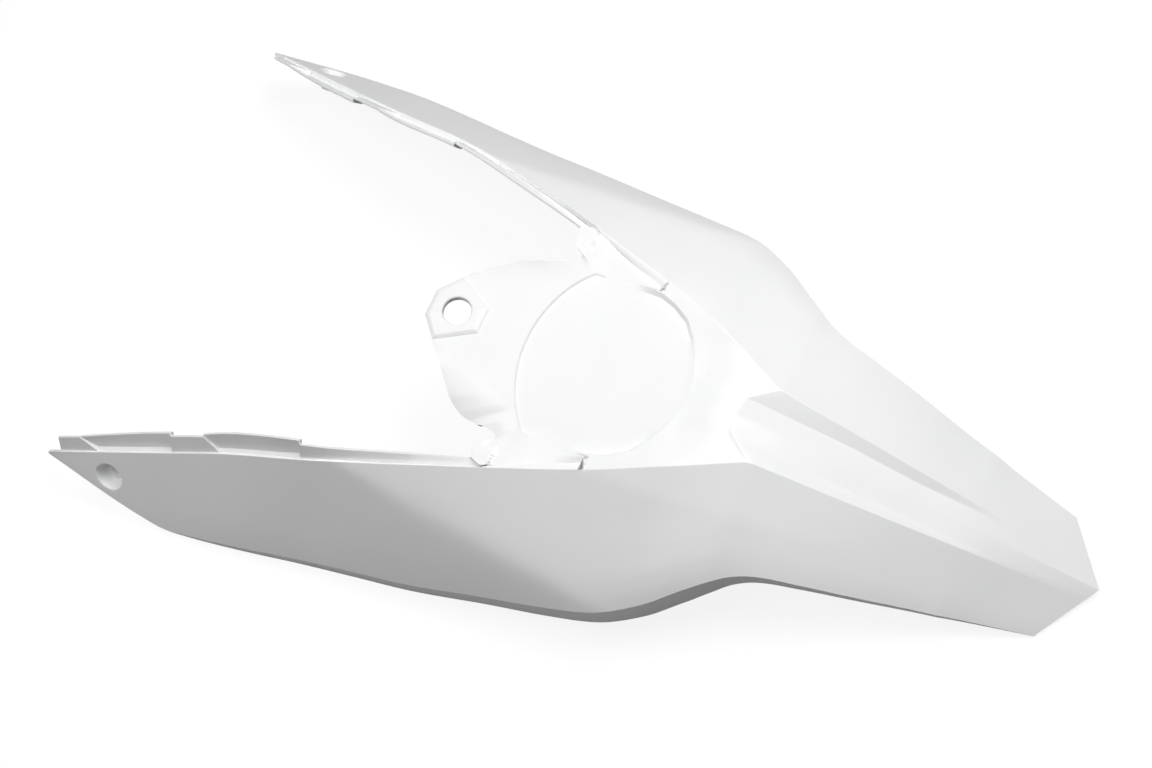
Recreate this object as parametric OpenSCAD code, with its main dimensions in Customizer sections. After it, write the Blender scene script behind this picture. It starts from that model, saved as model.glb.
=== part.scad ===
// Motorcycle rear fender with side panels, one moulding.
// Millimetres. +X runs to the tail, +Y to the right-hand side panel, +Z up.
// The origin is the middle of the underside of the bounding box.

/* [Lengths along X] */

// arm tip to the end of the root slot
arm_length = 484; // [400:1:560]
// end of the root slot to the crest corner
deck_length = 118; // [90:1:150]
// crest corner to the tail tip
tail_length = 278; // [220:1:340]
// arm tip to the lower front corner
corner_back = 118; // [90:1:150]
// arm tip to the side lobe
lobe_back = 519; // [500:1:535]
// arm tip to the waist
waist_back = 636; // [615:1:660]
// tail corners ahead of the tail tip
tail_point = 35; // [15:1:60]

/* [Half widths] */

// arm tip from the middle
tip_y = 221; // [180:1:235]
// lower front corner from the middle
corner_y = 241; // [215:1:270]
// side lobe from the middle
lobe_y = 178; // [165:1:195]
// waist from the middle
waist_y = 106; // [95:1:120]
// tail corner from the middle
tail_y = 53; // [40:1:66]
// deck edge at the root slot
root_y = 87.5; // [84:0.5:94]
// crest corner from the middle
crest_y = 33; // [28:0.5:40]

/* [Heights] */

// arm tip
tip_z = 39; // [30:1:60]
// lower front corner
corner_z = 0; // [0:0.5:12]
// side lobe
lobe_z = 54; // [44:1:62]
// waist
waist_z = 71; // [60:1:80]
// deck edge at the root slot
root_z = 122; // [118:0.5:128]
// crest corner
crest_z = 113; // [108:0.5:118]
// tail corners
tail_z = 0; // [0:0.5:12]
// sag of the lower edge between the front corner and the lobe
sag = 7; // [0:0.5:12]

/* [Wall] */

// moulded wall
wall = 3; // [2:0.1:4]
// flange along the top of each arm
flange_wall = 2.6; // [1.8:0.1:3.2]
// how far the flange stands above the skin's top edge
flange_rise = 22; // [16:0.5:28]
// width of the pockets between the skin and the flange
pocket_gap = 7; // [4:0.5:9]
// depth of the pockets below the skin's top edge
pocket_drop = 2.5; // [1.5:0.5:5]

/* [Lower lip] */

// lip under the middle of each arm
lip_arm = 20; // [4:0.5:22]
// lip behind the side lobe
lip_lobe = 33; // [16:0.5:38]
// lip along the tail
lip_tail = 11; // [4:0.5:14]
// lip at the tail corner
lip_end = 2; // [1:0.5:5]

/* [Deck] */

// height of the deck plane at the origin
deck_z = 121; // [117:0.5:124]
// fall of the deck towards the tail, degrees
deck_fall = 4; // [2:0.1:6]
// step down into the dish
dish_step = 1.5; // [0.8:0.1:2.4]
// front edge of the dish, radius
dish_r = 112; // [100:1:130]
// tongue hole diameter
tongue_hole_d = 24; // [16:0.5:28]
// tongue hole ahead of the root slot's end
tongue_hole_x = 153; // [148:1:158]
// height of the pad round the tongue hole
pad_step = 2; // [1:0.1:3]
// gap beside the deck fingers
finger_gap = 2.4; // [1.6:0.1:3.2]
// depth of the skirt rolled down along the tongue's edge
skirt = 9.5; // [6:0.5:14]
// collar under the tongue hole, below the deck's top
collar = 5; // [4.5:0.5:12]

/* [Tail channel] */

// depth of the channel at its front
channel_depth = 4.5; // [3:0.5:8]
// half width of the channel floor at its front
channel_y = 17; // [12:0.5:22]
// length of the channel
channel_length = 190; // [140:1:220]

/* [Arm holes] */

// mouth of the recess
arm_recess_d = 27; // [20:0.5:30]
// floor of the recess
arm_floor_d = 17; // [13:0.5:20]
// depth of the recess
arm_recess_depth = 10; // [6:0.5:14]
// bore through the recess's floor
arm_bore_d = 8.5; // [5:0.5:10]
// recess centre behind the arm tip
arm_hole_back = 64; // [60:1:80]

/* [Hidden] */

span = arm_length + deck_length + tail_length;
x_tip = -span / 2;
x_root = x_tip + arm_length;
x_crest = x_root + deck_length;
x_end = span / 2;
x_corner = x_tip + corner_back;
x_lobe = x_tip + lobe_back;
x_waist = x_tip + waist_back;
x_blend = x_crest + tail_length * 0.6;
x_foot = x_crest - 2;
x_shelf = x_crest - 21;

function mix(a, b, t) = a + (b - a) * t;
function soft(x, pts, w) = (lookup(x - w, pts) + 2 * lookup(x - w / 2, pts) + 2 * lookup(x, pts)
    + 2 * lookup(x + w / 2, pts) + lookup(x + w, pts)) / 8;
function bump(s, c) = max(0, s < c ? s / max(c, 0.001) : (1 - s) / max(1 - c, 0.001));
function ridge(s, c) = (bump(s - 0.05, c) + bump(s, c) + bump(s + 0.05, c)) / 3;

// Crease round the lower edge of the skin, from the arm tip round the lobe and the waist to the tail corner.
x_belly = mix(x_corner, x_lobe, 0.58);
t_blend = (x_blend - x_waist) / (x_end - tail_point - x_waist);
low_y = [[x_tip, tip_y + 1], [x_corner, corner_y], [x_belly, mix(corner_y, lobe_y, 0.58) + 3],
    [x_lobe, lobe_y], [x_lobe + 37, lobe_y - 19], [x_waist - 21, waist_y + 8], [x_waist, waist_y],
    [x_blend, mix(waist_y, tail_y, t_blend)], [x_end, tail_y]];
low_z = [[x_tip, tip_z - 3], [x_corner, corner_z], [x_belly, mix(corner_z, lobe_z, 0.58) - sag],
    [mix(x_corner, x_lobe, 0.77), mix(corner_z, lobe_z, 0.77) - sag * 0.75], [x_lobe, lobe_z],
    [x_lobe + 37, lobe_z + 8], [x_waist - 36, waist_z + 1], [x_waist, waist_z],
    [x_blend, mix(waist_z, tail_z, t_blend)], [x_end, tail_z]];
function low(x) = x < x_lobe - 40 ? [soft(x, low_y, 5), soft(x, low_z, 5)]
    : x > x_blend - 9 ? [lookup(x, low_y), lookup(x, low_z)] : [soft(x, low_y, 9), soft(x, low_z, 9)];

// Depth of the lip that hangs from the crease.
lip = [[x_corner, 0.8], [x_corner + 37, lip_arm * 0.25], [x_corner + 127, lip_arm * 0.72],
    [x_belly, lip_arm], [x_lobe - 95, lip_arm * 1.2], [x_lobe, mix(lip_arm, lip_lobe, 0.9)],
    [x_lobe + 35, lip_lobe], [x_lobe + 64, lip_lobe], [x_waist - 21, mix(lip_tail, lip_lobe, 0.4)],
    [x_waist, lip_tail + 2], [x_waist + 32, lip_tail], [x_end, lip_end]];

// Top edge of the skin: free along the arm, then the deck edge, then the crest of the tail.
function arm_x(t) = mix(x_tip, x_root, t);
function deck_x(t) = mix(x_root, x_crest, t);
top_y = [[x_tip, tip_y], [arm_x(0.378), mix(tip_y, root_y, 0.345)], [arm_x(0.525), mix(tip_y, root_y, 0.457)],
    [arm_x(0.636), mix(tip_y, root_y, 0.566)], [arm_x(0.773), mix(tip_y, root_y, 0.719)],
    [arm_x(0.907), mix(tip_y, root_y, 0.876)], [x_root, root_y], [deck_x(0.356), mix(root_y, crest_y, 0.321)],
    [deck_x(0.712), mix(root_y, crest_y, 0.688)], [x_crest, crest_y], [x_end, crest_y / 3]];
top_z = [[x_tip, tip_z], [arm_x(0.378), mix(tip_z, root_z, 0.614)], [arm_x(0.525), mix(tip_z, root_z, 0.819)],
    [arm_x(0.636), mix(tip_z, root_z, 0.91)], [arm_x(0.773), mix(tip_z, root_z, 0.964)], [x_root, root_z],
    [deck_x(0.356), mix(root_z, crest_z, -0.167)], [deck_x(0.712), mix(root_z, crest_z, 0.333)],
    [x_crest, crest_z], [x_end, tail_z + wall + 1]];
function top(x) = abs(x - x_crest) < 6 ? [lookup(x, top_y), lookup(x, top_z)]
    : [soft(x, top_y, 8), soft(x, top_z, 8)];

// Two folds cross each side panel: one from the arm to the lobe, one from the slot along the tail.
fold_s = [[x_root - 199, 0], [x_root - 128, 0.38], [x_root - 54, 0.68], [x_root + 22, 0.92], [x_root + 48, 1]];
fold_h = [[x_root - 199, 0], [x_root - 170, 5], [x_root - 128, 11.5], [x_root - 82, 14], [x_root - 30, 10.5],
    [x_root, 6.5], [x_root + 22, 3], [x_root + 48, 0]];
crease_s = [[x_root, 0], [x_root + 61, 0.215], [x_crest, 0.46], [x_crest + 32, 0.53], [x_crest + 98, 0.45]];
crease_h = [[x_root, 0], [x_root + 61, 1.8], [x_crest, 2], [x_crest + 32, 1.5], [x_crest + 98, 0.5],
    [x_crest + 150, 0]];
crown = [[x_tip, 0], [x_corner, 0.6], [x_corner + 62, 1.6], [x_root - 100, 2], [x_lobe, 3], [x_lobe + 40, 4],
    [x_waist, 1.5], [x_end, 0.4]];
crown_s = [[0, 0], [0.35, 0.42], [0.6, 0.86], [0.76, 1], [0.9, 0.66], [1, 0]];

function side_z(x, s) = let (a = top(x), b = low(x), f = lookup(x, fold_s), c = lookup(x, crease_s))
    mix(a[1], b[1], s) + (f > 0 && f < 1 ? lookup(x, fold_h) * ridge(s, f) : 0)
    + (c > 0 ? lookup(x, crease_h) * ridge(s, c) : 0) + lookup(x, crown) * lookup(s, crown_s);

// Channel down the tail, sunk between the two crests and running out towards the tail.
foot_y = [[x_shelf, channel_y - 1], [x_foot, channel_y], [x_foot + channel_length, 6], [x_end, 4]];
sink = [[x_shelf, 0], [x_foot, channel_depth], [x_foot + 70, channel_depth * 0.9],
    [x_foot + channel_length, 0]];
shelf_z = [[x_root, root_z - 3.5], [x_shelf, crest_z + 4]];
function foot_z(x) = (x < x_shelf + 1 ? lookup(x, shelf_z) : top(x)[1] + 1) - lookup(x, sink);

// One row of the skin from the lip's lower edge to the middle. Columns s = 1 to 0 climb from the crease to
// the top edge at xs; the middle columns stand at xm, which lags xs where the channel's front edge slants.
side_s = [1, 0.975, 0.93, 0.86, 0.78, 0.68, 0.57, 0.46, 0.35, 0.24, 0.12, 0];
n_side = len(side_s);
function half_row(xs, xm) = let (a = top(xs), b = low(xs), fy = lookup(xm, foot_y), fz = foot_z(xm))
    concat([[xs, b[0] - 0.5, b[1] - lookup(xs, lip)]],
        [for (s = side_s) [xs, mix(a[0], b[0], s), side_z(xs, s)]],
        [[mix(xs, xm, 0.5), mix(a[0], fy, 0.5), mix(a[1], fz, 0.5)], [xm, fy, fz]]);
function pull(x, w) = x < x_blend ? x
    : mix(x_blend, x_end - tail_point * w, (x - x_blend) / (x_end - x_blend));
function bent(p) = [pull(p[0], min(1, p[1] / low(p[0])[0])), p[1], p[2]];
function flip(p) = [p[0], -p[1], p[2]];
function row(xs, xm) = let (h = [for (p = half_row(xs, xm)) bent(p)], c = [pull(xm, 0), 0, foot_z(xm) + 0.4])
    concat([for (p = h) flip(p)], [c], [for (i = [len(h) - 1:-1:0]) h[i]]);

arm_rows = 30;
body_rows = 9;
tail_rows = 17;
stations = concat([for (i = [0:arm_rows - 1]) let (x = mix(x_tip, x_root, i / arm_rows)) [x, x]],
    [for (i = [0:body_rows]) [mix(x_root, x_crest, i / body_rows), mix(x_root, x_shelf, i / body_rows)]],
    [for (i = [0:tail_rows]) [mix(x_crest + 5, x_end, i / tail_rows), mix(x_foot, x_end, i / tail_rows)]]);
outer = [for (x = stations) row(x[0], x[1])];
rows = len(outer);
cols = len(outer[0]);
arm_cell = [for (i = [0:rows - 2]) i < arm_rows];

function filled(i, j) = i >= 0 && j >= 0 && i < rows - 1 && j < cols - 1
    && (!arm_cell[i] || j < n_side || j >= cols - 1 - n_side);
function unit(v) = v / norm(v);
function cell_normal(i, j) =
    unit(cross(outer[i + 1][j + 1] - outer[i][j], outer[i][j + 1] - outer[i + 1][j]));
function sum3(l, k = 0) = k >= len(l) ? [0, 0, 0] : l[k] + sum3(l, k + 1);
function near_cells(i, j) = [for (a = [i - 1, i]) for (b = [j - 1, j]) if (filled(a, b)) cell_normal(a, b)];
function normal(i, j) = let (l = near_cells(i, j)) len(l) == 0 ? [0, 0, 1] : unit(sum3(l));
inner = [for (i = [0:rows - 1]) [for (j = [0:cols - 1]) let (l = near_cells(i, j), n = normal(i, j))
    outer[i][j] - n * wall / (len(l) == 0 ? 1 : max(0.75, n * l[0]))]];
lowest = min([for (r = inner) for (p = r) p[2]]);

// Height of the deck plane at x, and the frame that lies in it.
module on_deck() {
    translate([0, 0, deck_z - lowest])
        rotate([0, deck_fall, 0])
            children();
}
function mirrored(pts) = concat(pts, [for (i = [len(pts) - 1:-1:0]) [pts[i][0], -pts[i][1]]]);

// Skin of both side panels, the rear deck and the tail: one closed shell.
module skin() {
    n = rows * cols;
    used = [for (i = [0:rows - 2]) for (j = [0:cols - 2]) if (filled(i, j)) [i, j]];
    faces = [for (c = used) let (i = c[0], j = c[1], a = i * cols + j, b = a + 1, d = a + cols, e = d + 1)
        each concat([[a, b, e], [a, e, d], [a + n, e + n, b + n], [a + n, d + n, e + n]],
            filled(i - 1, j) ? [] : [[a, a + n, b + n], [a, b + n, b]],
            filled(i + 1, j) ? [] : [[d, e + n, d + n], [d, e, e + n]],
            filled(i, j - 1) ? [] : [[a, d, d + n], [a, d + n, a + n]],
            filled(i, j + 1) ? [] : [[b, b + n, e + n], [b, e + n, e]])];
    translate([0, 0, -lowest])
        polyhedron(points = concat([for (r = outer) each r], [for (r = inner) each r]), faces = faces);
}

// Flange along the top of an arm, for the +Y arm. It leaves the skin's inner face, or the floor of a pocket,
// and rises to a line that continues the panel, leaning inwards towards its rear end. Each row is [foot, top,
// rise, 1 in a pocket]: foot and top are shares of the arm's length behind its tip, and rise is a share of
// the flange's full height.
pocket_1 = 0.122;
pocket_2 = 0.378;
lean_1 = 0.05;
lean_2 = 0.043;
flange_rows = [[0.031, 0.031, 0.75, 0], [0.058, 0.05, 0.75, 0], [pocket_1, pocket_1 - lean_1, 0.75, 0],
    [pocket_1 + 0.001, pocket_1 - lean_1 + 0.001, 0.82, 1], [0.145, 0.12, 0.86, 1], [0.186, 0.178, 0.94, 1],
    [0.227, 0.223, 0.98, 1], [0.2645, 0.2645, 1, 1], [0.2655, 0.2655, 0.82, 0], [0.3, 0.3, 0.82, 0],
    [pocket_2, pocket_2 - lean_2, 0.8, 0], [pocket_2 + 0.001, pocket_2 - lean_2 + 0.001, 0.96, 1],
    [0.405, 0.38, 1.02, 1], [0.438, 0.43, 1.02, 1], [0.479, 0.477, 0.98, 1], [0.525, 0.525, 0.91, 1],
    [0.526, 0.526, 0.75, 0], [0.568, 0.568, 0.68, 0], [0.63, 0.63, 0.6, 0], [0.692, 0.692, 0.5, 0],
    [0.754, 0.754, 0.42, 0], [0.818, 0.818, 0.32, 0], [0.843, 0.843, 0.26, 0]];
function up(x) = let (a = top(x), b = low(x)) unit([0, a[0] - b[0], a[1] - b[1]]);
function out(x) = let (u = up(x)) [0, u[2], -u[1]];
function edge(x) = [x, top(x)[0], top(x)[1]];
function flange_row(r) = let (xb = arm_x(r[0]), xt = arm_x(r[1]), u = up(xb), n = out(xb), v = up(xt),
    m = out(xt), gap = wall - 0.4 + r[3] * pocket_gap, drop = r[3] > 0 ? pocket_drop : 6,
    rise = flange_rise * r[2], lean = 0.4 + max(0, r[0] - 0.53) * 18)
    [edge(xb) - n * wall * 0.5 - u * drop, edge(xb) - n * gap - u * drop, edge(xt) - m * lean + v * rise,
        edge(xt) - m * (lean + flange_wall) + v * rise,
        edge(xb) - n * (gap + flange_wall) - u * (drop + flange_wall * 0.4),
        edge(xb) - n * (wall * 0.5 + 0.3) - u * (drop + flange_wall)];

module flange() {
    r = [for (f = flange_rows) each flange_row(f)];
    n = len(flange_rows);
    faces = concat([[5, 1, 4], [5, 0, 1], [4, 2, 3], [4, 1, 2]],
        [for (i = [0:n - 2]) for (k = [0:5]) let (a = i * 6 + k, b = i * 6 + (k + 1) % 6)
            each [[a, b + 6, b], [a, a + 6, b + 6]]],
        let (o = (n - 1) * 6)
            [[o + 5, o + 4, o + 1], [o + 5, o + 1, o], [o + 4, o + 3, o + 2], [o + 4, o + 2, o + 1]]);
    translate([0, 0, -lowest])
        polyhedron(points = r, faces = faces);
}

// Slanted web that closes the front of a pocket: a triangle between the skin's edge and the flange, t thick.
module web(xb, xt, rise) {
    t = 2;
    u = up(xb);
    n = out(xb);
    a = edge(xb) - n - u;
    b = edge(xb) - n * (wall + pocket_gap + 1) - u * (pocket_drop + 1);
    c = edge(xt) - out(xt) * 1.2 + up(xt) * (flange_rise * rise - 0.8);
    d = [t, 0, 0];
    translate([0, 0, -lowest])
        polyhedron(points = [a, b, c, a + d, b + d, c + d],
            faces = [[2, 1, 0], [4, 5, 3], [4, 3, 0], [1, 4, 0], [5, 4, 1], [2, 5, 1], [3, 5, 2], [0, 3, 2]]);
}

// Deck: the tongue, the fingers beside the slots and the dish, in the deck plane.
dish_cx = x_root + 22;
dish_front = [for (a = [180:-5:136]) [dish_cx + dish_r * cos(a), dish_r * sin(a)]];
dish_half = concat(dish_front, [[x_root - 32, root_y - 11.5], [x_root + 1, root_y - 11.5],
    [x_root + 28, root_y - 25], [x_root + 42, root_y - 44], [x_root + 50, root_y - 65], [x_root + 53, 0]]);
rim_half = concat([for (a = [180:-5:136]) [dish_cx + (dish_r + wall) * cos(a), (dish_r + wall) * sin(a)]],
    [[x_root - 32, root_y - 8.8], [x_root + 2, root_y - 8.8], [x_root + 30, root_y - 23],
        [x_root + 45, root_y - 43], [x_root + 53, root_y - 64], [x_root + 56, 0]]);
rim_rear = concat([[x_root - 1, 0], [x_root - 1, root_y - 9]],
    [for (i = [len(rim_half) - 5:len(rim_half) - 1]) rim_half[i]]);
tongue_x = x_root - tongue_hole_x;
deck_edge = [[-24, 0], [-24, 12], [-9, 30.5], [-3, 35], [10, 45], [27, 60], [37, 67], [47, 73], [59, 77.5],
    [68, 80], [74, 84], [75, 88], [71, 91], [67, 94]];
deck_half = concat([for (p = deck_edge) [tongue_x + p[0], p[1]]],
    [[x_root - 88, top(x_root - 88)[0] - 5], [x_root - 76, top(x_root - 76)[0] - 1.5],
        [x_root - 4, root_y - 5], [x_root - 4, root_y - 11], [x_root - 4, 0]]);
pad_half = [[tongue_x - 24, 0], [tongue_x - 24, 12], [tongue_x - 9, 30], [tongue_x + 24.5, 11.5],
    [tongue_x + 24.5, 0]];
pad_top = [for (p = pad_half) [tongue_x + (p[0] - tongue_x) * 0.86, p[1] * 0.86]];

// Skirt rolled down along the tongue's edge: each row is a point of the edge and the share of the full depth.
skirt_rows = [[-5, 32.5, 0.32], [3, 38.5, 0.76], [19, 53, 0.88], [28, 60.8, 1], [37, 67, 0.96], [47, 73, 0.8],
    [58, 77, 0.54], [64, 78.8, 0.32]];
function skirt_out(i) = let (a = skirt_rows[max(0, i - 1)], b = skirt_rows[min(len(skirt_rows) - 1, i + 1)])
    unit([a[1] - b[1], b[0] - a[0], 0]);
function skirt_row(i) = let (r = skirt_rows[i], p = [tongue_x + r[0], r[1], 0], n = skirt_out(i),
    d = skirt * r[2], f = d / 1.5)
    [for (q = [[-0.5, -0.35], [0.71 * f, -0.29 * d], [f, -d], [f - 2.4, -d],
        [0.71 * f - 2.2, -0.29 * d - 2.2], [-2.5, -2.6]])
        p + n * q[0] + [0, 0, q[1]]];
module skirt_side() {
    n = len(skirt_rows);
    faces = concat([[0, 5, 4], [0, 4, 1], [1, 4, 3], [1, 3, 2]],
        [for (i = [0:n - 2]) for (k = [0:5]) let (a = i * 6 + k, b = i * 6 + (k + 1) % 6)
            each [[a, b, b + 6], [a, b + 6, a + 6]]],
        let (o = (n - 1) * 6)
            [[o + 4, o + 5, o], [o + 1, o + 4, o], [o + 3, o + 4, o + 1], [o + 2, o + 3, o + 1]]);
    polyhedron(points = [for (i = [0:n - 1]) each skirt_row(i)], faces = faces);
}

module deck() {
    on_deck() {
        translate([0, 0, -wall])
            linear_extrude(wall)
                polygon(mirrored(deck_half));
        hull() {
            translate([0, 0, -1])
                linear_extrude(1)
                    polygon(mirrored(pad_half));
            translate([0, 0, pad_step - 0.5])
                linear_extrude(0.5)
                    polygon(mirrored(pad_top));
        }
        translate([tongue_x, 0, -collar])
            cylinder(h = collar - 1, r = tongue_hole_d / 2 + wall, $fn = 64);
        for (m = [0, 1])
            mirror([0, m, 0])
                skirt_side();
        translate([0, 0, -wall - dish_step])
            linear_extrude(wall + dish_step - 0.4)
                polygon(mirrored(rim_half));
    }
    translate([0, 0, deck_z - lowest - 14])
        linear_extrude(crest_z + 2.6 - deck_z + 14)
            polygon(mirrored(rim_rear));
}

// What is cut away: the dish, the slots beside the fingers and the ground under the dish floor.
module deck_cuts() {
    on_deck()
        translate([0, 0, -dish_step])
            linear_extrude(40)
                polygon(mirrored(dish_half));
    for (m = [0, 1])
        mirror([0, m, 0])
            translate([0, 0, deck_z - lowest - 30])
                linear_extrude(60)
                    polygon([[x_root - 30, root_y - 11], [x_root - 4, root_y - 11], [x_root - 4, root_y - 2],
                        [x_root - 0.6, root_y - 2], [x_root - 0.6, root_y - 11 - finger_gap],
                        [x_root - 28, root_y - 11 - finger_gap]]);
}

// Recess and bore in each arm, square to the front panel.
hole_x = x_tip + arm_hole_back;
hole_s = 0.55;
hole_p = [hole_x, mix(top(hole_x)[0], low(hole_x)[0], hole_s), side_z(hole_x, hole_s) - lowest];
hole_n = unit(cross([0, low(hole_x)[0] - top(hole_x)[0], low(hole_x)[1] - top(hole_x)[1]],
    [-60, top(hole_x - 60)[0] - top(hole_x)[0], top(hole_x - 60)[1] - top(hole_x)[1]]));

module at_arm_hole() {
    translate(hole_p)
        rotate([0, acos(hole_n[2]), atan2(hole_n[1], hole_n[0])])
            children();
}
module arm_boss() {
    at_arm_hole()
        translate([0, 0, -arm_recess_depth - wall])
            cylinder(h = arm_recess_depth + wall * 0.5, r1 = arm_floor_d / 2 + wall,
                r2 = arm_recess_d / 2 + wall * 0.7, $fn = 64);
}
module arm_recess() {
    at_arm_hole() {
        translate([0, 0, -arm_recess_depth])
            cylinder(h = arm_recess_depth * 1.1, r1 = arm_floor_d / 2,
                r2 = mix(arm_floor_d, arm_recess_d, 1.1) / 2, $fn = 64);
        translate([0, 0, -arm_recess_depth - 2 * wall])
            cylinder(h = 3 * wall, r = arm_bore_d / 2, $fn = 48);
    }
}

module rear_fender() {
    color([0.93, 0.93, 0.93])
        difference() {
            union() {
                skin();
                deck();
                for (m = [0, 1])
                    mirror([0, m, 0]) {
                        flange();
                        web(arm_x(pocket_1 - 0.002), arm_x(pocket_1 - lean_1 - 0.002), 0.78);
                        web(arm_x(pocket_2 - 0.002), arm_x(pocket_2 - lean_2 - 0.002), 0.88);
                        arm_boss();
                    }
            }
            deck_cuts();
            on_deck()
                translate([tongue_x, 0, -collar - wall])
                    cylinder(h = collar + pad_step + 2 * wall, r = tongue_hole_d / 2, $fn = 64);
            for (m = [0, 1])
                mirror([0, m, 0])
                    arm_recess();
        }
}

rear_fender();
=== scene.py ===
import math

import bmesh
import bpy
from mathutils import Matrix, Vector


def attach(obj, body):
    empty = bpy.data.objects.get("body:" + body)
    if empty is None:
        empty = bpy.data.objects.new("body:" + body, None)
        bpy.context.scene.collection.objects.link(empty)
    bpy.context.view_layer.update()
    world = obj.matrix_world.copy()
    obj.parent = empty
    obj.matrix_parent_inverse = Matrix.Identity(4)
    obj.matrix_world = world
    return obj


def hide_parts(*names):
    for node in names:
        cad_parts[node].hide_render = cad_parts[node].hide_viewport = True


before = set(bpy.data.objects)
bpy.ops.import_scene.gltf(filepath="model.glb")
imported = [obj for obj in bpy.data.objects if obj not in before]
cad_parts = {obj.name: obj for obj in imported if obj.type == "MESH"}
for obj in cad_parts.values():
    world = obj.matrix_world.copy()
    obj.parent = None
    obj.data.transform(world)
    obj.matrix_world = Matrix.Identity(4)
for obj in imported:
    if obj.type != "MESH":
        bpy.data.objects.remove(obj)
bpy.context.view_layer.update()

# Camera: it looks down on the left-hand panel from behind, with the tail towards the lower right.
# Its lens and place come from pairs of edges that mirror each other, so the perspective is the photograph's.
eye = Vector((0.4160, -0.4302, 1.3635))
eye_right = Vector((0.899497, 0.405789, -0.162008))
eye_up = Vector((-0.319645, 0.863929, 0.389164))
eye_back = Vector((0.297880, -0.298265, 0.906810))
camera = bpy.data.objects.new("camera", bpy.data.cameras.new("camera"))
camera.data.sensor_width = 36
camera.data.lens = 53.125
camera.matrix_world = Matrix.Translation(eye) @ Matrix((eye_right, eye_up, eye_back)).transposed().to_4x4()
bpy.context.scene.collection.objects.link(camera)
bpy.context.scene.camera = camera

# Moulded plastic: white polypropylene with an even satin gloss, as it leaves a polished mould.
# It has a very fine grain, a faint orange-peel waviness and slightly duller patches.
plastic = bpy.data.materials.new("moulded_plastic")
plastic.use_nodes = True
nodes = plastic.node_tree.nodes
links = plastic.node_tree.links
shader = nodes["Principled BSDF"]
shader.inputs["IOR"].default_value = 1.49
shader.inputs["Specular IOR Level"].default_value = 0.5
place = nodes.new("ShaderNodeTexCoord")


def noise(scale, detail):
    """A noise texture on the fender's own coordinates."""
    texture = nodes.new("ShaderNodeTexNoise")
    texture.inputs["Scale"].default_value = scale
    texture.inputs["Detail"].default_value = detail
    links.new(place.outputs["Object"], texture.inputs["Vector"])
    return texture


def spread(texture, low, high):
    """Maps a noise texture to a narrow range of values."""
    span = nodes.new("ShaderNodeMapRange")
    span.inputs["From Min"].default_value = 0.3
    span.inputs["From Max"].default_value = 0.7
    span.inputs["To Min"].default_value = low
    span.inputs["To Max"].default_value = high
    links.new(texture.outputs["Fac"], span.inputs["Value"])
    return span


tint = nodes.new("ShaderNodeMix")
tint.data_type = "RGBA"
tint.inputs["A"].default_value = (0.875, 0.885, 0.880, 1)
tint.inputs["B"].default_value = (0.900, 0.905, 0.900, 1)
links.new(spread(noise(14, 3), 0, 1).outputs["Result"], tint.inputs["Factor"])
links.new(tint.outputs["Result"], shader.inputs["Base Color"])
links.new(spread(noise(90, 4), 0.33, 0.41).outputs["Result"], shader.inputs["Roughness"])
peel = nodes.new("ShaderNodeBump")
peel.inputs["Strength"].default_value = 0.25
peel.inputs["Distance"].default_value = 0.0002
links.new(noise(160, 2).outputs["Fac"], peel.inputs["Height"])
grain = nodes.new("ShaderNodeBump")
grain.inputs["Strength"].default_value = 0.3
grain.inputs["Distance"].default_value = 0.00005
links.new(noise(1400, 2).outputs["Fac"], grain.inputs["Height"])
links.new(peel.outputs["Normal"], grain.inputs["Normal"])
links.new(grain.outputs["Normal"], shader.inputs["Normal"])

# Skin of the two side panels: each runs from its arm's tip to the tail, between a top edge and a crease
# round the bottom, from which a lip turns down. Two folds cross it, and it is moulded with a 3 mm wall.
# Rows list x and then y and z, or a height or share at that x.
drop = 2.32
wall = 3.0
x_tip = -439.8
x_root = 44.0
x_crest = 162.0
x_end = 440.0
tail_point = 35.0
tail_pull = 110.0
lip_lean = 0.6
fold_softness = 0.4
facet_softness = 0.09

top_edge = [(-440, 221, 39), (-381, 206, 55), (-312, 188.5, 74), (-257, 175, 90), (-186, 160, 106.7),
            (-132, 145.5, 114.6), (-66, 125, 119), (-4, 104.4, 120.6), (44, 87.5, 122), (86, 70, 123.5),
            (128, 50, 119), (150, 38.5, 115.2), (162, 33, 113), (174, 31.8, 108.3), (242, 26.6, 81.6),
            (322, 20.3, 50.3), (440, 11, 4)]
crease = [(-440, 222, 36.5), (-345, 238, 8.5), (-322, 240, 3.4), (-300, 238.3, 5.5), (-280, 236, 7.6),
          (-240, 230.3, 11), (-194, 222.8, 15), (-140, 215, 19.2), (-89, 208.6, 24), (-16, 196, 36),
          (37, 187, 45), (79, 178, 54), (116, 159, 61.8), (143, 138, 69.3), (160, 125, 72.5), (175, 114.5, 73),
          (193, 106.7, 71.3), (228, 98, 62), (265, 88.7, 49), (330, 72.2, 26.2), (440, 53, 0.3)]
lip_depth = [(-440, 0.5), (-345, 1.5), (-322, 4.4), (-300, 7.4), (-280, 9.6), (-240, 12.9), (-194, 16.7),
             (-140, 21), (-89, 22.5), (-16, 25), (37, 29), (79, 31.5), (116, 34.5), (143, 35), (160, 31),
             (175, 24), (193, 18), (228, 13), (265, 10.8), (440, 2.3)]
fold_place = [(-155, 0), (-84, 0.38), (-10, 0.68), (66, 0.92), (92, 1)]
fold_height = [(-155, 0), (-126, 5), (-84, 11.5), (-38, 14), (14, 10.5), (44, 6.5), (66, 3), (92, 0)]
facet_place = [(44, 0), (105, 0.215), (162, 0.46), (194, 0.53), (260, 0.45), (440, 0.4)]
facet_height = [(44, 0), (105, 1.8), (162, 2), (194, 1.5), (260, 0.5), (312, 0), (440, 0)]
crown_height = [(-440, 0), (-330, 0.6), (-260, 1.6), (-56, 2), (79, 3), (119, 4), (196, 1.5), (440, 0.4)]
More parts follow.
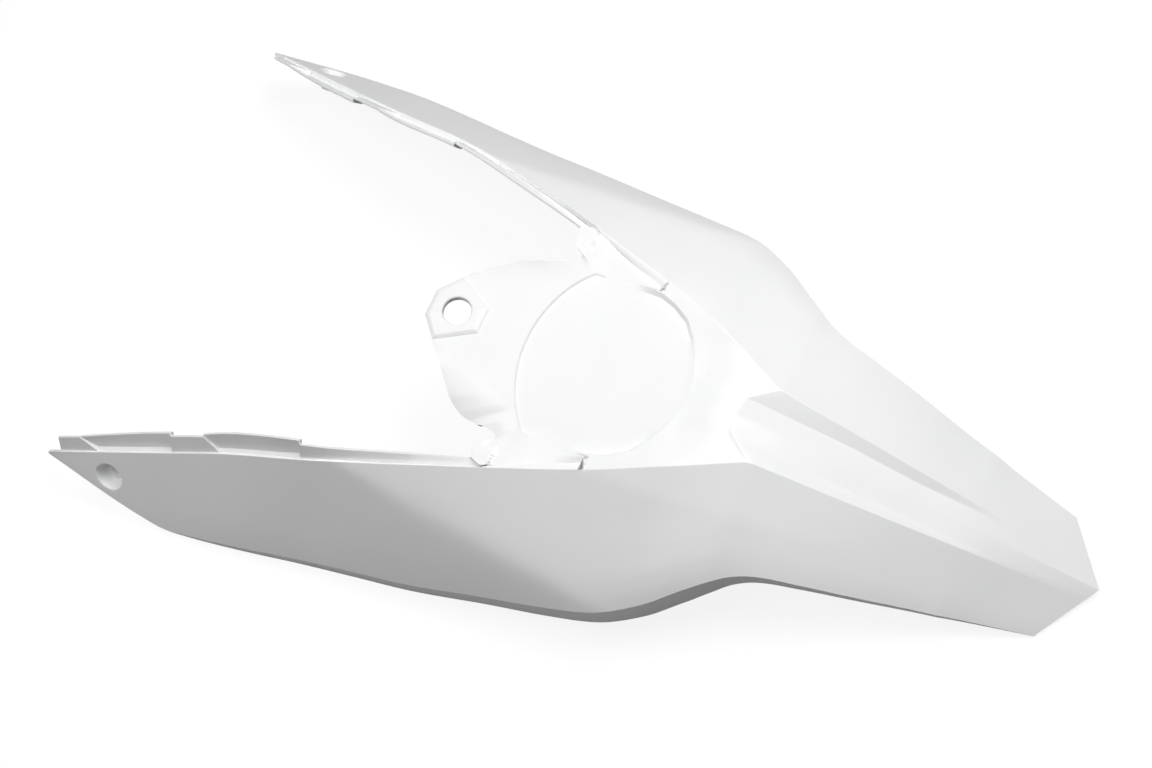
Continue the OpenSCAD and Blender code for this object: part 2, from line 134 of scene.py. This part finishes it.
crown_shape = [(0, 0), (0.35, 0.42), (0.6, 0.86), (0.76, 1), (0.9, 0.66), (1, 0)]


def mix(a, b, t):
    """The value at share t of the way from a to b."""
    return a + (b - a) * t


def slope(points, i, k):
    """Slope of column k at point i, for a curve that has no overshoot."""
    if i in (0, len(points) - 1):
        j = max(1, i)
        return (points[j][k] - points[j - 1][k]) / (points[j][0] - points[j - 1][0])
    before = (points[i][k] - points[i - 1][k]) / (points[i][0] - points[i - 1][0])
    after = (points[i + 1][k] - points[i][k]) / (points[i + 1][0] - points[i][0])
    return 2 * before * after / (before + after) if before * after > 0 else 0


def along(points, x, k=1):
    """Height k of the smooth curve through the points, at x."""
    x = min(max(x, points[0][0]), points[-1][0])
    i = max(n for n in range(len(points) - 1) if points[n][0] <= x)
    width = points[i + 1][0] - points[i][0]
    t = (x - points[i][0]) / width
    a, b = slope(points, i, k) * width, slope(points, i + 1, k) * width
    p, q = points[i][k], points[i + 1][k]
    return p + t * (a + t * (3 * (q - p) - 2 * a - b + t * (2 * (p - q) + a + b)))


def straight(points, x):
    """Height of the broken line through the points, at x."""
    x = min(max(x, points[0][0]), points[-1][0])
    i = max(n for n in range(len(points) - 1) if points[n][0] <= x)
    return mix(points[i][1], points[i + 1][1], (x - points[i][0]) / (points[i + 1][0] - points[i][0]))


def tent(s, peak, soft):
    """Two straight slopes that meet at the peak, with the corner rounded."""
    up = s / max(peak, 0.02)
    down = (1 - s) / max(1 - peak, 0.02)
    return 0.5 * (up + down - math.hypot(up - down, soft))


def ridge(s, peak, soft):
    """Rises from 0 at both edges to nearly 1 at the peak, which is rounded."""
    return tent(s, peak, soft) - mix(tent(0, peak, soft), tent(1, peak, soft), s)


def panel_point(x, s):
    """A point of the right-hand panel: s runs from 0 on the top edge to 1 on the crease."""
    y = mix(along(top_edge, x), along(crease, x), s)
    z = mix(along(top_edge, x, 2), along(crease, x, 2), s)
    if fold_place[0][0] < x < fold_place[-1][0]:
        z += along(fold_height, x) * ridge(s, straight(fold_place, x), fold_softness)
    if x > facet_place[0][0]:
        z += along(facet_height, x) * ridge(s, straight(facet_place, x), facet_softness)
    z += along(crown_height, x) * along(crown_shape, s)
    return Vector((x, y, z))


def pulled(point, reach):
    """Draws the last stretch of the tail back towards its corners, so that the tail ends in a point."""
    x_start = x_end - tail_pull
    if point.x <= x_start:
        return point
    share = (point.x - x_start) / (x_end - x_start)
    back = tail_point * min(1, abs(point.y) / reach)
    return Vector((point.x - back * share, point.y, point.z))


def sheet(bm, across, down, place_point):
    """A grid of across by down faces whose points are laid by place_point(u, v), with a hard outline."""
    made = bmesh.ops.create_grid(bm, x_segments=across, y_segments=down, size=1)
    for vert in made["verts"]:
        vert.co = place_point((vert.co.x + 1) / 2, (vert.co.y + 1) / 2)
    for edge in {edge for vert in made["verts"] for edge in vert.link_edges}:
        edge.smooth = not edge.is_boundary
    return made["verts"]


arm_rows = 120
root_rows = 44
tail_rows = 64
side_steps = 30
lip_steps = 4
x_stations = [mix(x_tip, x_root, i / arm_rows) for i in range(arm_rows)]
x_stations += [mix(x_root, x_crest, i / root_rows) for i in range(root_rows)]
x_stations += [mix(x_crest, x_end, i / tail_rows) for i in range(tail_rows + 1)]


def panel(u, v):
    """Right-hand panel and its lip, from the top edge (v = 0) down to the lip's lower edge (v = 1)."""
    x = x_stations[round(u * (len(x_stations) - 1))]
    step = round(v * (side_steps + lip_steps))
    if step <= side_steps:
        point = panel_point(x, step / side_steps)
    else:
        share = (step - side_steps) / lip_steps
        point = panel_point(x, 1) - Vector((0, lip_lean * share, along(lip_depth, x) * share))
    return pulled(point, along(crease, x))


skin = bmesh.new()
sheet(skin, len(x_stations) - 1, side_steps + lip_steps, panel)

# Recess near each arm's tip: a tapered cup that takes the head of the side bolt, with the bolt's hole in its
# floor. It is moulded in one with the panel, so its rings grow out of the panel's own sheet. Each ring gives
# its radius and its depth under the panel.
recess_x = -376.0
recess_share = 0.55
cut_reach = 20.0
rim_reach = 17.5
recess_rings = [(13.8, 0), (13.4, 0.3), (13, 1.2), (9.4, 10.5), (8.8, 11), (4.6, 11), (4.25, 11.3), (4.25, 17)]
recess_middle = panel_point(recess_x, recess_share)
recess_in = (panel_point(recess_x + 2, recess_share) - panel_point(recess_x - 2, recess_share)).cross(
    panel_point(recess_x, recess_share + 0.04) - panel_point(recess_x, recess_share - 0.04)).normalized()
if recess_in.z > 0:
    recess_in.negate()


def from_axis(point):
    """The part of a point's offset from the recess's middle that is square to the recess's axis."""
    offset = point - recess_middle
    return offset - recess_in * offset.dot(recess_in)


covered = [face for face in skin.faces if from_axis(face.calc_center_median()).length < recess_rings[0][0]
           and (face.calc_center_median() - recess_middle).length < cut_reach]
bmesh.ops.delete(skin, geom=covered, context="FACES")
ring = [edge for edge in skin.edges
        if edge.is_boundary and all((vert.co - recess_middle).length < rim_reach for vert in edge.verts)]
for vert in {vert for edge in ring for vert in edge.verts}:
    square = from_axis(vert.co)
    vert.co += square.normalized() * recess_rings[0][0] - square
for radius, depth in recess_rings[1:]:
    grown = bmesh.ops.extrude_edge_only(skin, edges=ring)["geom"]
    ring = [item for item in grown if isinstance(item, bmesh.types.BMEdge) and item.is_boundary]
    for vert in {vert for edge in ring for vert in edge.verts}:
        vert.co = recess_middle + from_axis(vert.co).normalized() * radius + recess_in * depth

# Top of the tail: a channel between the two crests, moulded into the same skin. Its floor leaves the shelf at
# a slanted front edge, falls a little under the crests and meets them again before the tail's tip.
channel_foot = [(141, 16, 117.5), (229, 17, 82.6), (250, 16.2, 74.4), (293, 15, 58.4), (330, 15, 46),
                (352, 14, 38.4), (440, 8, 4.2)]
channel_lag = 21.0
channel_blend = 60.0
middle_lag = 3.0
middle_rise = 0.15
wall_steps = 6
floor_steps = 6


def channel_row(x):
    """Crest, foot and middle of the channel's right half for the row that leaves the crest at x."""
    crest = Vector((x, along(top_edge, x), along(top_edge, x, 2)))
    ahead = max(0, 1 - (x - x_crest) / channel_blend)
    foot_x = x - channel_lag * ahead
    foot = Vector((foot_x, along(channel_foot, foot_x), along(channel_foot, foot_x, 2)))
    middle = Vector((foot_x - middle_lag * ahead, 0, foot.z + middle_rise))
    return crest, foot, middle


def channel_wall(u, v):
    """u runs towards the tail, v from the crest down to the foot."""
    x = x_stations[arm_rows + root_rows + round(u * tail_rows)]
    crest, foot, _ = channel_row(x)
    return pulled(crest.lerp(foot, v), along(crease, x))


def channel_floor(u, v):
    """u runs towards the tail, v from the foot to the middle of the tail."""
    x = x_stations[arm_rows + root_rows + round(u * tail_rows)]
    _, foot, middle = channel_row(x)
    return pulled(foot.lerp(middle, v), along(crease, x))


sheet(skin, tail_rows, wall_steps, channel_wall)
sheet(skin, tail_rows, floor_steps, channel_floor)

# Shelf between the dish and the tail: a smooth saddle from the dish's rear rim out to the two top edges
# and back to the front of the channel. It is the same sheet of plastic as the panels.
dish_rim = [(44, 75.5, 121.8), (58, 70, 121.8), (72, 61, 121.2), (82, 48, 120.4), (89, 34, 119.6),
            (95, 17, 119), (97, 0, 118.8)]
shelf_steps = 12
shelf_rear = 98.0
shelf_blend = 34.0
front_steps = wall_steps + floor_steps


def polyline(points, t):
    """The point at share t of the length of a broken line."""
    lengths = [(Vector(b) - Vector(a)).length for a, b in zip(points, points[1:])]
    left = t * sum(lengths)
    for a, b, length in zip(points, points[1:], lengths):
        if left <= length + 1e-6:
            return Vector(a).lerp(Vector(b), min(1, left / length))
        left -= length
    return Vector(points[-1])


def shelf(u, v):
    """u runs along the top edge to the crest corner, then over the front of the channel to its middle."""
    i = round(u * (root_rows + front_steps))
    inner = polyline(dish_rim, i / (root_rows + front_steps))
    if i <= root_rows:
        outer = panel_point(x_stations[arm_rows + i], 0)
    elif i <= root_rows + wall_steps:
        outer = channel_wall(0, (i - root_rows) / wall_steps)
    else:
        outer = channel_floor(0, (i - root_rows - wall_steps) / floor_steps)
    point = inner.lerp(outer, v)
    rear = min(1, max(0, (point.x - shelf_rear) / shelf_blend))
    rear = rear * rear * (3 - 2 * rear) * min(1, 5 * (1 - v))
    point.z = mix(point.z, along(top_edge, point.x, 2), rear)
    return point


sheet(skin, root_rows + front_steps, shelf_steps, shelf)

# Groove beside each finger: the top edge turns down and inwards there, under the finger's outer side. Each row
# gives its x and how far the groove goes in and down. It completes the skin, which is mirrored and thickened.
groove_steps = (18, 4)
joined = 0.004
crest_round = 0.5
crest_turn = math.radians(10)
groove = [(-34, 1.5, 0.8), (-4, 5.0, 2.4), (20, 7.2, 3.4), (44, 8.5, 4.2)]


def groove_wall(u, v):
    """u runs along the groove, v from the top edge down."""
    x = mix(groove[0][0], groove[-1][0], u)
    edge = panel_point(x, 0)
    return edge - Vector((0, along(groove, x) * v, along(groove, x, 2) * v ** 1.5))


sheet(skin, *groove_steps, groove_wall)
bmesh.ops.remove_doubles(skin, verts=skin.verts, dist=joined)
bmesh.ops.mirror(skin, geom=skin.verts[:] + skin.edges[:] + skin.faces[:], axis="Y", merge_dist=joined)
bmesh.ops.remove_doubles(skin, verts=skin.verts, dist=joined)


def face_up(bm):
    """Makes all faces of a sheet point up or outwards."""
    bmesh.ops.recalc_face_normals(bm, faces=bm.faces)
    if sum(face.normal.z * face.calc_area() for face in bm.faces) < 0:
        bmesh.ops.reverse_faces(bm, faces=bm.faces)


def thicken(bm, thickness):
    """Gives a sheet its wall, on its inner side."""
    bm.normal_update()
    bmesh.ops.solidify(bm, geom=bm.faces[:], thickness=thickness)


def harden(bm, angle):
    """Keeps an edge hard where a sheet ended or where its faces turn by more than the angle, in degrees."""
    for edge in bm.edges:
        if max(abs(vert.co.y) for vert in edge.verts) < 0.01:
            edge.smooth = True
        if edge.calc_face_angle(0) > math.radians(angle):
            edge.smooth = False
    for face in bm.faces:
        face.smooth = True


def finish(bm, name, sharp=32):
    """Turns a mesh in millimetres into a piece of the fender in metres."""
    harden(bm, sharp)
    bmesh.ops.translate(bm, verts=bm.verts, vec=(0, 0, drop))
    bmesh.ops.scale(bm, verts=bm.verts, vec=(0.001, 0.001, 0.001))
    mesh = bpy.data.meshes.new(name)
    bm.to_mesh(mesh)
    bm.free()
    mesh.materials.append(plastic)
    piece = bpy.data.objects.new(name, mesh)
    bpy.context.scene.collection.objects.link(piece)
    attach(piece, "root")
    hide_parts("rear_fender")
    return piece


face_up(skin)
skin.normal_update()
crest_edges = [edge for edge in skin.edges
               if not edge.smooth and not edge.is_boundary and edge.calc_face_angle(0) > crest_turn
               and min(vert.co.x for vert in edge.verts) > x_root]
bmesh.ops.bevel(skin, geom=crest_edges, offset=crest_round, offset_type="OFFSET", affect="EDGES", segments=2,
                profile=0.5, material=-1, clamp_overlap=True)
thicken(skin, wall)
finish(skin, "fender_skin")

# Flange along the top of each arm: a thin plate inside the skin that stands above its edge and fits behind
# the seat's side. Twice it steps inwards and leaves a pocket with a slanted front. Each part lists how far its
# foot and its top lie behind the arm's tip, how far it rises and how far its top leans in. The seat of each
# kind gives how far its foot stands in from the skin, and how deep it lies under the edge outside and inside.
flange_wall = 2.6
flange_seat = {"flush": (0, 6, 6), "lip": (1.4, 6, 6), "pocket": (2.8, 2.5, -3)}
web_lag = 9.0
web_length = 30.0
edge_round = 0.5
flange_parts = [("flush", [(12.5, 12.5, 16.5, 0.4), (28, 24.2, 16.5, 0.4), (59, 35, 16.5, 0.4)]),
                ("pocket", [(59, 35, 17, 0.6), (70, 58, 17.6, 2.4), (90, 86, 18.8, 3.2), (110, 108, 19.5, 3.4),
                            (128, 128, 19.8, 3.4)]),
                ("lip", [(128, 128, 20, 0.4), (128.4, 128.4, 20, 0.4)]),
                ("flush", [(129.6, 129.6, 18, 0.4), (145, 145, 18, 0.4), (183, 162, 17.6, 0.4)]),
                ("pocket", [(183, 162, 20, 0.6), (196, 184, 20.9, 2), (212, 208, 20.8, 2.6),
                            (232, 231, 20.2, 2.6), (254, 254, 18.7, 2.6)]),
                ("lip", [(254, 254, 18, 0.4), (254.4, 254.4, 18, 0.4)]),
                ("flush", [(255.6, 255.6, 15.6, 0.8), (275, 275, 13, 2), (290, 290, 11.4, 3),
                           (318, 318, 9.6, 4.5), (345, 345, 8.4, 4.9), (375, 375, 6.5, 5.2),
                           (396, 396, 4.9, 6.2), (408, 408, 4.3, 6.2)])]
part_steps = 12
section_steps = 8


def edge_frame(back):
    """Point of the skin's top edge at a distance behind the arm's tip, and the panel's ways up and out."""
    x = x_tip + back
    edge = Vector((x, along(top_edge, x), along(top_edge, x, 2)))
    up = (edge - Vector((x, along(crease, x), along(crease, x, 2)))).normalized()
    return edge, up, Vector((0, up.z, -up.y))


def flange_point(u, v):
    """u runs along the arm through the parts, v round the plate's section."""
    i = round(u * (len(flange_parts) * (part_steps + 1) - 1))
    kind, rows = flange_parts[i // (part_steps + 1)]
    foot = mix(rows[0][0], rows[-1][0], (i % (part_steps + 1)) / part_steps)
    base, up, out = edge_frame(foot)
    lag = web_lag * max(0, 1 - (foot - rows[0][0]) / web_length) if kind == "pocket" else 0
    deep, _, _ = edge_frame(foot - lag)
    head, head_up, head_out = edge_frame(along(rows, foot))
    head += head_up * along(rows, foot, 2) - head_out * along(rows, foot, 3)
    gap, outer_fall, inner_fall = flange_seat[kind]
    gap += flange_wall
    seat = base - out * wall / 2 - up * outer_fall
    return [seat,
            deep - out * gap - up * inner_fall,
            head - head_up * (edge_round + 0.2),
            head - head_out * edge_round,
            head - head_out * (flange_wall - edge_round),
            head - head_out * flange_wall - head_up * (edge_round + 0.2),
            deep - out * (gap + flange_wall) - up * (inner_fall + 1),
            seat - out * 0.3 - up * flange_wall,
            seat][round(v * section_steps)]


flange = bmesh.new()
sheet(flange, len(flange_parts) * (part_steps + 1) - 1, section_steps, flange_point)
for edge in flange.edges:
    edge.smooth = True
bmesh.ops.remove_doubles(flange, verts=flange.verts, dist=0.02)
bmesh.ops.holes_fill(flange, edges=[edge for edge in flange.edges if edge.is_boundary], sides=0)
bmesh.ops.mirror(flange, geom=flange.verts[:] + flange.edges[:] + flange.faces[:], axis="Y", merge_dist=0.001)
bmesh.ops.recalc_face_normals(flange, faces=flange.faces)
finish(flange, "arm_flanges", 25)

# Deck: the tongue in front of the dish, with its edges rolled down, and the finger beside each slit. It is one
# sheet that falls four degrees towards the tail. The outline lists each point's x, y and fall below the deck.
deck_height = 121.0
deck_slope = 0.07
deck_steps = (110, 30)
deck_outline = [(-133, 0, 0), (-133, 12, 0), (-118, 30.5, 0), (-112.7, 36.9, 3), (-103.7, 45.3, 5),
                (-97.2, 52.9, 9), (-86.5, 65.2, 15), (-80.8, 69.4, 17.5), (-73.8, 73.8, 19), (-66, 76.2, 19),
                (-58.4, 77.7, 17.5), (-50.4, 78.9, 12.5), (-42.2, 81.3, 7), (-36, 84.5, 4), (-35.5, 88, 2),
                (-40, 90.5, 1.5), (-44.5, 94, 1), (-47, 102, 0.5), (-47, 109, 0), (-36, 113.2, 0.5),
                (-4, 100.5, 2.4), (20, 90.5, 3.4), (40.5, 82, 4)]
dish_r = 112.0
dish_centre = 66.0
front_angles = [math.radians(angle) for angle in range(0, 43, 3)]
deck_rim = [(dish_centre - dish_r * math.cos(angle), dish_r * math.sin(angle)) for angle in front_angles]
deck_rim += [(0, 76.2), (14, 76.5), (40.5, 77.5)]
roll_width = 40.0
roll_power = 1.35
flare = 0.62
flare_shift = 0.45
flare_start = -37.0
flare_fade = 14.0
notch = Vector((-36, 89))
notch_depth = 3.5
notch_spread = 72.0
valley = Vector((-12, 84))
valley_depth = 3.6
valley_spread = 420.0
valley_squeeze = 1.6
arm_side = 84.0
arm_blend = 12.0
finger_front = -10.0
finger_length = 40.0
finger_side = 70.0
finger_blend = 6.0
tab_rear = -30.0
tab_rise = 1.5
rim_bias = 0.9
row_crowding = 1.5
hole_x = -109.0
pad_patch = 17.0


def deck_plane(x):
    """Height of the deck's plane at x."""
    return deck_height - deck_slope * x


def outline_share(points, t):
    """The point at share t of the length of an outline in the plane, and the direction there."""
    solid = [(*point, 0)[:3] for point in points]
    here = polyline(solid, t)
    ahead = polyline(solid, min(1, t + 0.012)) - polyline(solid, max(0, t - 0.012))
    return here, Vector((ahead.x, ahead.y, 0)).normalized()


def dip(x, y):
    """The deck curls down beside the notch between the tongue and the arm, and a shallow valley runs on."""
    near = ((x - notch.x) ** 2 + (y - notch.y) ** 2) / notch_spread
    beyond = ((x - valley.x) ** 2 + valley_squeeze * (y - valley.y) ** 2) / valley_spread
    return notch_depth * math.exp(-near) + valley_depth * math.exp(-beyond)


def lifted(x, y):
    """Height of the deck sheet: the plane, raised to the top edge beside the arm and at the finger."""
    arm = min(1, max(0, (y - arm_side) / arm_blend)) if x < 0 else 0
    finger = min(1, max(0, (x - finger_front) / finger_length))
    finger *= min(1, max(0, (y - finger_side) / finger_blend))
    goal = along(top_edge, x, 2) + (tab_rise if x < tab_rear else 0)
    return mix(deck_plane(x), goal, max(arm, finger)) - dip(x, y)


lengths = [(Vector(b).xy - Vector(a).xy).length for a, b in zip(deck_outline, deck_outline[1:])]
edge_fall = [(sum(lengths[:i]) / sum(lengths), point[2]) for i, point in enumerate(deck_outline)]


def deck_half(side):
    """Places the points of one half of the deck: v runs from the dish's rim to the rolled edge."""
    def place_point(u, v):
        inner, _ = outline_share(deck_rim, u ** rim_bias)
        outer, _ = outline_share([point[:2] for point in deck_outline], u)
        fall = along(edge_fall, u)
        flared = (1 - flare) * fall * min(1, max(0, (flare_start - outer.x) / flare_fade))
        outer.y -= side * flare_shift * flared
        fall -= flared
        point = inner.lerp(outer, 1 - (1 - v) ** row_crowding)
        inside = (outer - point).length / min(roll_width, (outer - inner).length)
        rolled = fall * max(0, 1 - inside) ** roll_power
        return Vector((point.x, point.y, lifted(point.x, point.y) - rolled))
    return place_point


deck = bmesh.new()
sheet(deck, *deck_steps, deck_half(-1))
bmesh.ops.scale(deck, verts=deck.verts, vec=(1, -1, 1))
sheet(deck, *deck_steps, deck_half(1))
hole = Vector((hole_x, 0))
under_pad = [face for face in deck.faces if (face.calc_center_median().xy - hole).length < pad_patch]
bmesh.ops.delete(deck, geom=under_pad, context="FACES")
bmesh.ops.remove_doubles(deck, verts=deck.verts, dist=0.05)
face_up(deck)
thicken(deck, wall)
finish(deck, "tongue_and_fingers")

# Dish: a flat floor a little below the deck, with a soft step in front and a sloped wall behind and beside it.
# It is part of the same moulding. The inset is the width of its wall at each share of the way round its rim.
dish_step = 1.5
dish_steps = (120, 18)
dish_wall_steps = 3
front_share = 0.55
level_x = 15.0
level_slope = 0.0355
level_blend = 12.0
dish_middle = 20.0
dish_front = deck_rim[:-1] + [(32, 77), (40.5, 75.6)]
floor_inset = [(0, 1.4), (0.34, 1.6), (0.42, 6), (0.5, 4.5), (0.55, 3.2), (0.62, 2.8), (1, 3)]


def dish_edge(t):
    """Right half of the dish's rim from the middle of its front to the middle of its rear."""
    if t <= front_share:
        point, ahead = outline_share(dish_front, t / front_share)
        return Vector((point.x, point.y, lifted(point.x, point.y))), ahead
    flat = [(x, y) for x, y, z in dish_rim]
    share = (t - front_share) / (1 - front_share)
    point, ahead = outline_share(flat, share)
    return polyline(dish_rim, share), ahead


def dish_floor(x, y):
    """The floor lies a step under the deck, has its valley too and turns level towards the shelf."""
    y = max(0, y)
    level = level_slope * (x - level_x + math.hypot(x - level_x, level_blend))
    return Vector((x, y, deck_plane(x) - dish_step + level - dip(x, y)))


def dish(u, v):
    """u runs round the rim, v from the rim down its wall and over the floor to the middle line."""
    rim, ahead = dish_edge(u)
    inset = along(floor_inset, u)
    step = v * dish_steps[1]
    floor = dish_floor(rim.x + ahead.y * inset, rim.y - ahead.x * inset)
    if step <= dish_wall_steps:
        return rim.lerp(floor, step / dish_wall_steps)
    inwards = (step - dish_wall_steps) / (dish_steps[1] - dish_wall_steps)
    point = floor.lerp(Vector((mix(dish_middle, floor.x, 0.3), 0, 0)), inwards)
    return dish_floor(point.x, point.y)


tub = bmesh.new()
sheet(tub, *dish_steps, dish)
bmesh.ops.mirror(tub, geom=tub.verts[:] + tub.edges[:] + tub.faces[:], axis="Y", merge_dist=0.05)
bmesh.ops.remove_doubles(tub, verts=tub.verts, dist=0.05)
face_up(tub)
thicken(tub, wall)
finish(tub, "dish")

# Tongue pad: a raised pad with sloped sides round the hole for the front bolt, and a short collar under it.
# It is moulded in one with the tongue, over the patch that the deck's sheet leaves open.
pad_outline = [(-133.2, -12), (-133.2, 12), (-117.5, 30.5), (-84.5, 11.5), (-84.5, -11.5), (-117.5, -30.5)]
hole_r = 12.0
collar_wall = 3.0
collar_depth = 3.4
pad_height = 1.95
pad_depth = 3.3
side_points = 16
pad_steps = 11


def on_deck(x, y, height):
    """A point over the deck's plane, measured square to it."""
    return Vector((x + height * deck_slope, y, deck_plane(x) + height))


def pad_point(u, v):
    """u runs round the pad, v from its edge under the deck over the top and down the hole to the collar."""
    i = round(u * len(pad_outline) * side_points) % (len(pad_outline) * side_points)
    a = pad_outline[i // side_points]
    b = pad_outline[(i // side_points + 1) % len(pad_outline)]
    share = (i % side_points) / side_points
    out = Vector((mix(a[0], b[0], share) - hole_x, mix(a[1], b[1], share)))
    round_way = out.normalized()
    reach, height = [(out, -pad_depth), (out, -0.2), (out * 0.985, 0.15), (out * 0.86, pad_height - 0.15),
                     (out * 0.84, pad_height), (round_way * (hole_r + 1.4), pad_height),
                     (round_way * (hole_r + 0.5), pad_height - 0.5), (round_way * hole_r, pad_height - 1.6),
                     (round_way * hole_r, -collar_depth), (round_way * (hole_r + collar_wall), -collar_depth),
                     (round_way * (hole_r + collar_wall), -pad_depth), (out, -pad_depth)][round(v * pad_steps)]
    return on_deck(hole_x + reach.x, reach.y, height)


pad = bmesh.new()
sheet(pad, len(pad_outline) * side_points, pad_steps, pad_point)
for edge in pad.edges:
    edge.smooth = True
bmesh.ops.remove_doubles(pad, verts=pad.verts, dist=0.01)
bmesh.ops.recalc_face_normals(pad, faces=pad.faces)
finish(pad, "tongue_pad", 18)

# Floor and light: a plain pale floor, two large soft lamps overhead and a dim white room. The camera sees the
# floor partly glow, so that it is as white as the background and still shows the fender's shadow.
floor_mesh = bpy.data.meshes.new("floor")
ground = bmesh.new()
bmesh.ops.create_grid(ground, x_segments=1, y_segments=1, size=4)
ground.to_mesh(floor_mesh)
ground.free()
floor_paint = bpy.data.materials.new("floor_paint")
floor_paint.use_nodes = True
floor_shader = floor_paint.node_tree.nodes["Principled BSDF"]
floor_shader.inputs["Base Color"].default_value = (0.55, 0.55, 0.55, 1)
floor_shader.inputs["Roughness"].default_value = 0.9
floor_shader.inputs["Specular IOR Level"].default_value = 0.0
glow = floor_paint.node_tree.nodes.new("ShaderNodeEmission")
glow.inputs["Strength"].default_value = 1.25
blend = floor_paint.node_tree.nodes.new("ShaderNodeMixShader")
seen = floor_paint.node_tree.nodes.new("ShaderNodeLightPath")
most = floor_paint.node_tree.nodes.new("ShaderNodeMath")
most.operation = "MULTIPLY"
most.inputs[1].default_value = 0.7
floor_links = floor_paint.node_tree.links
floor_links.new(seen.outputs["Is Camera Ray"], most.inputs[0])
floor_links.new(most.outputs["Value"], blend.inputs["Fac"])
floor_links.new(floor_shader.outputs["BSDF"], blend.inputs[1])
floor_links.new(glow.outputs["Emission"], blend.inputs[2])
floor_links.new(blend.outputs["Shader"], floor_paint.node_tree.nodes["Material Output"].inputs["Surface"])
floor_mesh.materials.append(floor_paint)
floor = bpy.data.objects.new("floor", floor_mesh)
bpy.context.scene.collection.objects.link(floor)


def lamp(name, place, aim, size, power):
    """A square soft lamp at place that points at aim."""
    light = bpy.data.lights.new(name, "AREA")
    light.size = size
    light.energy = power
    holder = bpy.data.objects.new(name, light)
    holder.location = place
    holder.rotation_euler = (Vector(aim) - Vector(place)).to_track_quat("-Z", "Y").to_euler()
    bpy.context.scene.collection.objects.link(holder)


lamp("far lamp", (0.5, 0.7, 1.5), (0, 0, 0.05), 0.9, 21)
lamp("near lamp", (-0.7, -0.3, 1.5), (0, 0, 0.05), 0.9, 12)

room = bpy.data.worlds.new("room")
bpy.context.scene.world = room
room.use_nodes = True
sky = room.node_tree.nodes["Background"]
sky.inputs["Color"].default_value = (1, 1, 1, 1)
path = room.node_tree.nodes.new("ShaderNodeLightPath")
room_links = room.node_tree.links
first = room.node_tree.nodes.new("ShaderNodeMath")
first.operation = "MAXIMUM"
second = room.node_tree.nodes.new("ShaderNodeMath")
second.operation = "MAXIMUM"
level = room.node_tree.nodes.new("ShaderNodeMapRange")
level.inputs["To Min"].default_value = 0.02
level.inputs["To Max"].default_value = 1.0
room_links.new(path.outputs["Is Camera Ray"], first.inputs[0])
room_links.new(path.outputs["Is Glossy Ray"], first.inputs[1])
room_links.new(first.outputs["Value"], second.inputs[0])
room_links.new(path.outputs["Is Transmission Ray"], second.inputs[1])
room_links.new(second.outputs["Value"], level.inputs["Value"])
room_links.new(level.outputs["Result"], sky.inputs["Strength"])
bpy.context.scene.view_settings.view_transform = "Standard"
